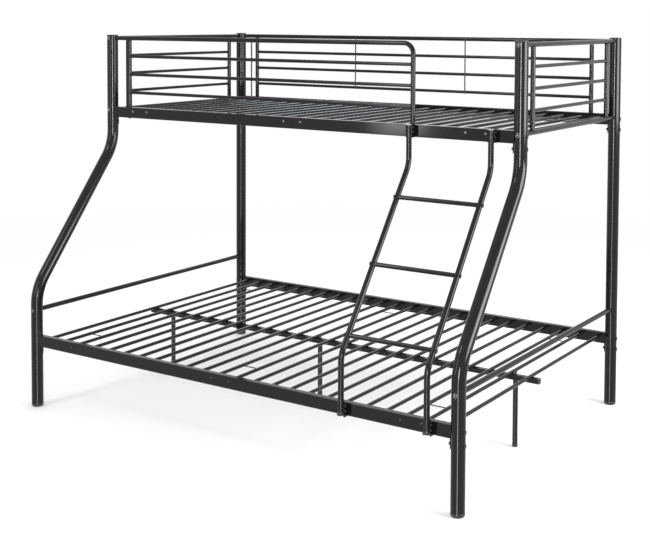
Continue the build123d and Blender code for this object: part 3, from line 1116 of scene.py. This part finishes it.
@dataclass
class Welds:
    """Weld beads where bars, wires and tubes are joined for good."""

    bead: float = 0.0012
    fine_bead: float = 0.0008
    bead_share: float = 0.3
    bar_share: float = 0.999
    ripples: int = 9
    steps: int = 36

    def slats(self, frame: CadFrame) -> None:
        """Runs beads round both ends of every slat.

        Args:
            frame: The CAD frame.
        """
        for level in ("lower", "upper"):
            seams = Shape()
            for solid in frame.solids(f"{level}_slats"):
                radius = solid.size.z / 2
                middle = solid.centre
                for end, side in ((solid.low.y, 1), (solid.high.y, -1)):
                    tip = Vector((middle.x, end, middle.z))
                    seam = flat_seam(tip, ACROSS * side, radius, self.steps)
                    seams.bead(seam, self.bead, self.ripples)
            seams.piece(f"{level}_slat_welds", POWDER_COAT)

    def tees(
        self,
        frame: CadFrame,
        node: str,
        along: Vector,
        across: Vector,
        radius: float,
        ends: Sequence[int] = (-1, 1),
    ) -> None:
        """Runs beads where the bars of a node meet round tubes.

        Args:
            frame: The CAD frame.
            node: Node that holds the bars.
            along: Direction that the bars run in.
            across: Direction that the tubes run in.
            radius: Radius of the tubes.
            ends: Ends of the bars that are welded, -1 for the low one and 1 for the high one.
        """
        seams = Shape()
        thick = ALONG + ACROSS + UP - along - across
        for solid in frame.solids(node):
            bar = min(solid.size.dot(thick) / 2, radius * self.bar_share)
            hollow = math.sqrt(radius ** 2 - bar ** 2)
            for sign in ends:
                tip = solid.centre + along * (sign * (solid.size.dot(along) / 2))
                axis_point = tip + along * (sign * hollow)
                seam = round_seam(axis_point, along * -sign, across, bar, radius, self.steps)
                seams.bead(seam, min(self.bead, bar * self.bead_share), self.ripples)
        seams.piece(f"{node}_welds", POWDER_COAT)

    def spots(self, frame: CadFrame, node: str, bars: str) -> None:
        """Runs small beads where upright wires cross the bars of a guard.

        Args:
            frame: The CAD frame.
            node: Node that holds the wires.
            bars: Node that holds the bars.
        """
        seams = Shape()
        for wire in frame.solids(node):
            for bar in frame.solids(bars):
                inner = wire.centre.y < bar.centre.y
                face = wire.high.y if inner else wire.low.y
                at = Vector((wire.centre.x, face, bar.centre.z))
                seam = flat_seam(at, ACROSS, wire.size.x / 2, self.steps // 2)
                seams.bead(seam, self.fine_bead, self.ripples)
        seams.piece(f"{node}_welds", POWDER_COAT)

    def build(self, frame: CadFrame) -> None:
        """Builds the beads of the slats, their links, the end panels and the guards.

        Args:
            frame: The CAD frame.
        """
        self.slats(frame)
        tube = frame.solids("back_guard_uprights")[0].size.x / 2
        slat = frame.solids("lower_slats")[0].size.x / 2
        for level in ("lower", "upper"):
            self.tees(frame, f"{level}_slat_links", ALONG, ACROSS, slat)
        for side in ("left", "right"):
            self.tees(frame, f"end_{side}_bars", ACROSS, UP, tube)
            self.tees(frame, f"end_{side}_uprights", UP, ACROSS, tube)
        for row in ("back", "front"):
            self.tees(frame, f"{row}_guard_bars", ALONG, UP, tube)
        self.tees(frame, "back_guard_uprights", UP, ALONG, tube, ends=(1,))
        self.tees(frame, "front_guard_upright", UP, ALONG, tube, ends=(1,))
        self.spots(frame, "back_guard_wires", "back_guard_bars")
        self.spots(frame, "front_guard_wire", "front_guard_bars")


@dataclass(frozen=True)
class Lamp:
    """A softbox.

    Args:
        name: Name of the lamp.
        at: Where it stands.
        target: Point that it faces.
        size: Its width and height.
        radiance: How bright its face looks, where the backdrop is 1.
        colour: Colour of its light.
    """

    name: str
    at: Place
    target: Place
    size: tuple[float, float]
    radiance: float
    colour: Colour = (1.0, 1.0, 1.0)

    def set_up(self) -> None:
        """Puts the lamp in its place, facing its target and out of the camera's sight."""
        data = bpy.data.lights.new(self.name, "AREA")
        data.shape = "RECTANGLE"
        width, height = self.size
        data.size, data.size_y = width, height
        data.energy = self.radiance * math.pi * width * height
        data.color = self.colour
        made = bpy.data.objects.new(self.name, data)
        made.location = self.at
        facing = Vector(self.target) - Vector(self.at)
        made.rotation_euler = facing.to_track_quat("-Z", "Y").to_euler()
        made.visible_camera = False
        bpy.context.scene.collection.objects.link(made)


DAYLIGHT = (0.94, 0.97, 1.0)
SKY = (0.8, 0.9, 1.0)
LAMPS = (
    Lamp(
        name="low_strip",
        at=(2.05, -4.05, -0.55),
        target=(0.0, -0.2, -0.55),
        size=(0.45, 2.2),
        radiance=21.0,
    ),
    Lamp(
        name="high_strip",
        at=(2.05, -4.05, 1.1),
        target=(0.0, -0.2, 1.1),
        size=(0.4, 1.1),
        radiance=50.0,
    ),
    Lamp(
        name="side_window",
        at=(4.0, 0.25, 1.75),
        target=(0.0, 0.25, 1.75),
        size=(2.3, 1.6),
        radiance=14.0,
        colour=DAYLIGHT,
    ),
    Lamp(
        name="left_softbox",
        at=(-1.6, -2.9, 3.5),
        target=(0.3, 0.0, 0.9),
        size=(0.9, 0.9),
        radiance=8.0,
        colour=DAYLIGHT,
    ),
    Lamp(
        name="left_strip",
        at=(-1.5, -3.7, 1.7),
        target=(0.5, -0.3, 1.0),
        size=(0.35, 1.8),
        radiance=9.0,
    ),
    Lamp(
        name="back_softbox",
        at=(-1.7, 3.5, 2.9),
        target=(-0.3, 0.2, 1.2),
        size=(1.8, 0.9),
        radiance=5.0,
        colour=SKY,
    ),
    Lamp(
        name="top_softbox",
        at=(-0.6, 0.2, 4.2),
        target=(0.0, 0.0, 0.5),
        size=(3.0, 2.0),
        radiance=1.0,
    ),
)


@dataclass
class Studio:
    """Floor, lights, surroundings and camera."""

    floor_half: float = 14.0
    floor_squares: int = 8
    floor_colour: Colour = (0.86, 0.86, 0.86)
    floor_roughness: float = 0.9
    floor_specular: float = 0.1
    sweep: tuple[float, float] = (2.0, 6.0)
    backdrop: Colour = (1.0, 1.0, 1.0)
    fill: float = 0.95
    white: float = 1.0
    camera_at: Place = (2.803581, -4.179183, 1.656922)
    focal_px: float = 1192.014
    centre_px: tuple[float, float] = (325.0, 78.666)
    picture_px: tuple[int, int] = (650, 551)
    azimuth: float = 33.869
    pitch: float = 2.915
    roll: float = -0.211
    sensor: float = 36.0
    sight: tuple[float, float] = (0.05, 100.0)

    def floor(self) -> None:
        """Lays the floor, which the paint doesn't mirror, so the low strip shows down to the feet."""
        mesh = bmesh.new()
        squares = self.floor_squares
        bmesh.ops.create_grid(mesh, x_segments=squares, y_segments=squares, size=self.floor_half)
        data = bpy.data.meshes.new("floor")
        mesh.to_mesh(data)
        mesh.free()
        made = bpy.data.objects.new("floor", data)
        made.visible_glossy = False
        bpy.context.scene.collection.objects.link(made)
        data.materials.append(self.floor_material())
        made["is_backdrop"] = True

    def floor_material(self) -> bpy.types.Material:
        """Makes the pale floor, which runs into the white of the backdrop far from the bed.

        Returns:
            The material.
        """
        material = bpy.data.materials.new("floor_white")
        material.use_nodes = True
        nodes, links = material.node_tree.nodes, material.node_tree.links
        surface = nodes["Principled BSDF"]
        surface.inputs["Base Color"].default_value = (*self.floor_colour, 1.0)
        surface.inputs["Roughness"].default_value = self.floor_roughness
        surface.inputs["Specular IOR Level"].default_value = self.floor_specular

        place = nodes.new("ShaderNodeTexCoord")
        reach = nodes.new("ShaderNodeVectorMath")
        reach.operation = "LENGTH"
        links.new(place.outputs["Object"], reach.inputs[0])
        fade = nodes.new("ShaderNodeMapRange")
        fade.interpolation_type = "SMOOTHSTEP"
        fade.inputs["From Min"].default_value, fade.inputs["From Max"].default_value = self.sweep
        links.new(reach.outputs["Value"], fade.inputs["Value"])
        share = nodes.new("ShaderNodeMath")
        share.operation = "MULTIPLY"
        links.new(fade.outputs["Result"], share.inputs[0])
        links.new(self.seen_rays(material.node_tree), share.inputs[1])
        white = nodes.new("ShaderNodeEmission")
        blend = nodes.new("ShaderNodeMixShader")
        links.new(share.outputs["Value"], blend.inputs["Fac"])
        links.new(surface.outputs["BSDF"], blend.inputs[1])
        links.new(white.outputs["Emission"], blend.inputs[2])
        links.new(blend.outputs["Shader"], nodes["Material Output"].inputs["Surface"])
        return material

    def seen_rays(self, tree: bpy.types.NodeTree) -> bpy.types.NodeSocket:
        """Adds nodes that pick out the rays in which the backdrop is seen.

        Args:
            tree: Node tree of the floor's material or of the world.

        Returns:
            Socket that is 1 for camera, glossy and transmission rays and 0 for others.
        """
        ray = tree.nodes.new("ShaderNodeLightPath")
        seen = ray.outputs["Is Camera Ray"]
        for name in ("Is Glossy Ray", "Is Transmission Ray"):
            either = tree.nodes.new("ShaderNodeMath")
            either.operation = "MAXIMUM"
            tree.links.new(seen, either.inputs[0])
            tree.links.new(ray.outputs[name], either.inputs[1])
            seen = either.outputs["Value"]
        return seen

    def surroundings(self) -> None:
        """Makes the white surroundings, which also show as the backdrop."""
        world = bpy.data.worlds.new("studio")
        bpy.context.scene.world = world
        world.use_nodes = True
        nodes, links = world.node_tree.nodes, world.node_tree.links
        backdrop = nodes["Background"]
        backdrop.inputs["Color"].default_value = (*self.backdrop, 1.0)
        strength = nodes.new("ShaderNodeMapRange")
        strength.inputs["To Min"].default_value = self.fill
        strength.inputs["To Max"].default_value = self.white
        links.new(self.seen_rays(world.node_tree), strength.inputs["Value"])
        links.new(strength.outputs["Result"], backdrop.inputs["Strength"])

    def camera(self) -> None:
        """Places the camera where the photograph was taken from."""
        turn, tilt, lean = (math.radians(a) for a in (self.azimuth, self.pitch, self.roll))
        reach = math.cos(tilt)
        forward = Vector((-math.sin(turn) * reach, math.cos(turn) * reach, -math.sin(tilt)))
        level = Vector((math.cos(turn), math.sin(turn), 0.0))
        down = forward.cross(level)
        right = level * math.cos(lean) + down * math.sin(lean)
        below = down * math.cos(lean) - level * math.sin(lean)
        width, height = self.picture_px
        data = bpy.data.cameras.new("camera")
        data.sensor_width = self.sensor
        data.sensor_fit = "HORIZONTAL"
        data.lens = self.focal_px / width * self.sensor
        data.shift_x = (width / 2 - self.centre_px[0]) / width
        data.shift_y = (self.centre_px[1] - height / 2) / width
        data.clip_start, data.clip_end = self.sight
        made = bpy.data.objects.new("camera", data)
        turned = Matrix((right, -below, -forward)).transposed().to_4x4()
        made.matrix_world = Matrix.Translation(self.camera_at) @ turned
        bpy.context.scene.collection.objects.link(made)
        bpy.context.scene.camera = made

    def build(self) -> None:
        """Sets up the studio round the finished bed."""
        bpy.context.scene.view_settings.view_transform = "Standard"
        self.floor()
        self.surroundings()
        for lamp in LAMPS:
            lamp.set_up()
        self.camera()


def main() -> None:
    """Builds the bed's detail in order, then the studio round it."""
    logging.basicConfig(level=logging.INFO)
    frame = CadFrame()
    for finish in (*CAD_FINISHES, *SCENE_FINISHES):
        finish.make()
    frame.dress()
    PostEnds().build(frame)
    LadderEnds().build(frame)
    CentreFeet().build(frame)
    CoachBolts().build(frame)
    RailNuts().build(frame)
    CrossScrews().build(frame)
    Welds().build(frame)
    Studio().build()


if __name__ == "__main__":
    main()
